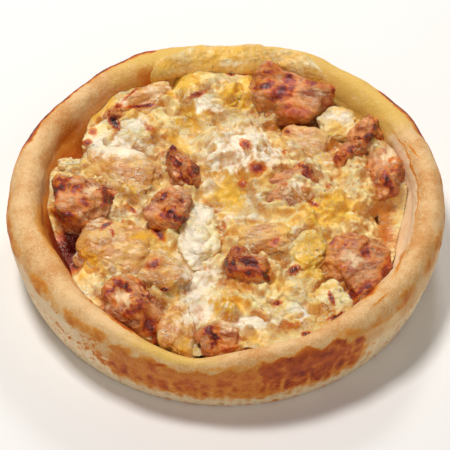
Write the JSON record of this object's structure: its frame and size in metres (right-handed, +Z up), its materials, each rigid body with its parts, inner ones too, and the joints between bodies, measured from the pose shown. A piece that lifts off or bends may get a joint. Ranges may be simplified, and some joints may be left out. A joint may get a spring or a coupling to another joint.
{
  "type": "tarte flambee",
  "caption": "Small round savoury tart: a thick-rimmed pleated dough case filled with set cream, browned meat chunks, onion slices and melted cheese.",
  "frame": {"origin": "centre of the underside, on the surface the tart rests on", "axes": "+Z up, -Y towards the low front of the rim, +X to the right seen from the front"},
  "size_m": [0.1174, 0.1186, 0.0261],
  "materials": {
    "crust": "dry baked dough, floury and mottled, browned towards the shoulder",
    "filling": "moist set cream and melted cheese, pale to yellow with browned spots",
    "meat": "roasted chicken-like chunks, tan with dark browned tips, slightly glossy",
    "onion": "soft cooked slices, translucent golden, with browned edges",
    "cheese": "melted cheese and cream lumps, off-white to yellow, with browned spots"
  },
  "bodies": {
    "root": {"crust": "crust", "filling": "filling", "meat_left": "meat", "meat_back": "meat", "meat_right_front": "meat", "meat_right": "meat", "meat_front_left": "meat", "meat_middle": "meat", "meat_left_middle": "meat", "meat_tips": "meat", "meat_front": "meat", "meat_upper_right": "meat", "meat_ridge": "meat", "meat_pale": "meat", "meat_curl": "meat", "slice_round": "onion", "slice_left": "onion", "slice_back_left": "onion", "slice_back_right": "onion", "slice_middle": "onion", "slice_wedge": "onion", "slice_small": "onion", "cheese_mound": "cheese", "cheese_lump": "cheese", "cheese_creamy": "cheese", "cheese_back": "cheese", "cheese_flap": "cheese", "cheese_sheet": "cheese", "cheese_yellow": "cheese", "cheese_front": "cheese", "cheese_corner": "cheese", "cheese_crumb": "cheese", "cheese_run_over": "cheese"}
  },
  "joints": []
}
